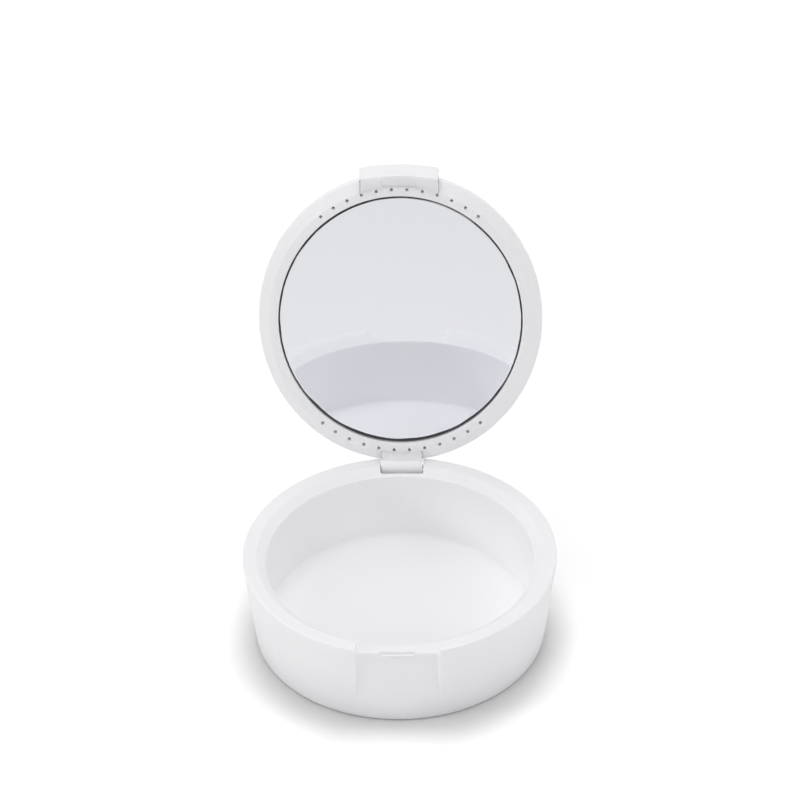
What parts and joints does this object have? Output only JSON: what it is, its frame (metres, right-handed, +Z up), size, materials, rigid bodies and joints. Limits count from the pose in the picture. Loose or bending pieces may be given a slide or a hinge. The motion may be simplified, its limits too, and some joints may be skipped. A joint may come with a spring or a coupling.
{
  "type": "orthodontic retainer case",
  "caption": "Round white snap-shut case for a dental retainer: a flared tub with a thumb recess and a hinged lid that carries a round mirror and rows of vent holes.",
  "frame": {"origin": "centre of the flat underside of the tub, on the table", "axes": "+Z up, -Y towards the latch and the user, +Y towards the hinge, +X to the right"},
  "size_m": [0.082, 0.0878, 0.0977],
  "materials": {
    "white_plastic": "moulded, soft satin sheen",
    "pin_steel": "drawn wire, bright",
    "mirror_face": "silvered, polished",
    "foam_tape": "matt"
  },
  "bodies": {
    "base": {"base_shell": "white_plastic", "hinge_pin": "pin_steel"},
    "lid": {"lid_shell": "white_plastic", "mirror_disc": "mirror_face", "mirror_tape": "foam_tape"}
  },
  "joints": [
    {"name": "lid_hinge", "type": "hinge", "parent": "base", "child": "lid", "pos_m": [0, 0.0385, 0.01895], "axis": [1, 0, 0], "range_deg": [0, 94.3]}
  ]
}
